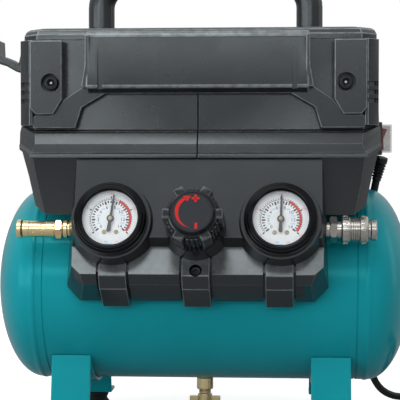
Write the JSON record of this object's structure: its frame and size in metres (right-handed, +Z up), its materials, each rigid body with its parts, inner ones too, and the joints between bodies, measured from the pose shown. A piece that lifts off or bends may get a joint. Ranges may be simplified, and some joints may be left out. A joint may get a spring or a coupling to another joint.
{
  "type": "air compressor",
  "caption": "Portable oil-free air compressor: a horizontal tank on rubber feet under a moulded motor housing, with gauges, a pressure regulator, a relief valve and a quick coupler.",
  "frame": {"origin": "on the floor, under the middle of the compressor without its mains cord", "axes": "+X along the tank towards the air outlet, +Y from the control panel to the back, +Z up"},
  "size_m": [0.4603, 0.2935, 0.3915],
  "materials": {
    "tank_paint": "glossy teal enamel",
    "housing_plastic": "fine-textured charcoal moulding",
    "gauge_case_plastic": "glossy black",
    "knob_plastic": "satin black",
    "gauge_dial": "printed white enamel",
    "needle": "satin black",
    "lens": "clear",
    "brass": "turned",
    "nickel": "nickel plated",
    "screw_steel": "plain",
    "cradle_steel": "plain",
    "cast_alloy": "cast",
    "copper": "drawn copper tube",
    "filter_foam": "open-cell foam",
    "foot_rubber": "moulded",
    "grip_rubber": "ribbed",
    "rocker_red": "translucent red",
    "splash_cover": "smoky translucent",
    "cord_rubber": "smooth",
    "plug_rubber": "moulded"
  },
  "bodies": {
    "frame": {"tank_shell": "tank_paint", "tank_head_left": "tank_paint", "tank_head_right": "tank_paint", "foot_bracket_left": "tank_paint", "foot_bracket_right": "tank_paint", "rubber_foot_front_left": "foot_rubber", "rubber_foot_front_right": "foot_rubber", "rubber_foot_rear_left": "foot_rubber", "rubber_foot_rear_right": "foot_rubber", "drain_valve_body": "brass", "front_shell_left": "housing_plastic", "front_shell_right": "housing_plastic", "rear_shell": "housing_plastic", "top_cover": "housing_plastic", "carry_handle": "housing_plastic", "handle_grip": "grip_rubber", "hose_hook": "housing_plastic", "control_panel": "housing_plastic", "shell_screw_left": "screw_steel", "shell_screw_right": "screw_steel", "panel_screw": "screw_steel", "tank_gauge_case": "gauge_case_plastic", "outlet_gauge_case": "gauge_case_plastic", "tank_gauge_dial": "gauge_dial", "outlet_gauge_dial": "gauge_dial", "tank_gauge_lens": "lens", "outlet_gauge_lens": "lens", "regulator_body": "cast_alloy", "inlet_pipe": "brass", "outlet_pipe": "brass", "relief_valve_body": "brass", "coupler_body": "nickel", "pump_cradle": "cradle_steel", "motor_housing": "cradle_steel", "crankcase": "cast_alloy", "pump_cylinder": "cast_alloy", "cylinder_head": "cast_alloy", "air_filter": "filter_foam", "discharge_tube": "copper", "check_valve": "brass", "pressure_switch": "knob_plastic", "switch_frame": "gauge_case_plastic", "switch_cover": "splash_cover", "cord_strain_relief": "cord_rubber", "power_cord": "cord_rubber", "cord_coil": "cord_rubber", "cord_tail": "cord_rubber", "plug_body": "plug_rubber"},
    "knob": {"regulator_knob": "knob_plastic", "regulator_stem": "brass"},
    "tank_needle": {"tank_gauge_needle": "needle"},
    "outlet_needle": {"outlet_gauge_needle": "needle"},
    "relief_cap": {"relief_valve_cap": "brass"},
    "sleeve": {"coupler_sleeve": "nickel"},
    "rocker": {"switch_rocker": "rocker_red"},
    "drain_tap": {"drain_valve_tap": "brass"},
    "rotor": {"motor_shaft": "screw_steel", "cooling_fan": "knob_plastic"},
    "piston": {"piston_rod": "cast_alloy"}
  },
  "joints": [
    {"name": "regulator_turn", "type": "hinge", "parent": "frame", "child": "knob", "pos_m": [0, -0.0863, 0.1748], "axis": [0, -0.9563, 0.2924], "range_deg": [-360, 360]},
    {"name": "tank_needle_turn", "type": "hinge", "parent": "frame", "child": "tank_needle", "pos_m": [-0.065, -0.0848, 0.1789], "axis": [0, -0.9563, 0.2924], "range_deg": [-123, 137], "stiffness_Nm_per_rad": 0.002},
    {"name": "outlet_needle_turn", "type": "hinge", "parent": "frame", "child": "outlet_needle", "pos_m": [0.065, -0.0848, 0.1789], "axis": [0, -0.9563, 0.2924], "range_deg": [-128, 132], "stiffness_Nm_per_rad": 0.002},
    {"name": "relief_pull", "type": "slide", "parent": "frame", "child": "relief_cap", "axis": [-1, 0, 0], "range_m": [0, 0.003], "stiffness_N_per_m": 800, "springref_m": -0.002},
    {"name": "coupler_slide", "type": "slide", "parent": "frame", "child": "sleeve", "axis": [-1, 0, 0], "range_m": [0, 0.003], "stiffness_N_per_m": 1000, "springref_m": -0.002},
    {"name": "switch_rock", "type": "hinge", "parent": "frame", "child": "rocker", "pos_m": [0.149, 0.0642, 0.2425], "axis": [0, 1, 0], "range_deg": [-18, 0]},
    {"name": "drain_turn", "type": "hinge", "parent": "frame", "child": "drain_tap", "pos_m": [0, 0.0342, 0.0256], "axis": [0, 0, 1], "range_deg": [0, 360]},
    {"name": "rotor_spin", "type": "hinge", "parent": "frame", "child": "rotor", "pos_m": [0, 0.0142, 0.252], "axis": [1, 0, 0], "continuous": true},
    {"name": "piston_slide", "type": "slide", "parent": "frame", "child": "piston", "axis": [0, 1, 0], "range_m": [-0.01, 0.01]}
  ]
}
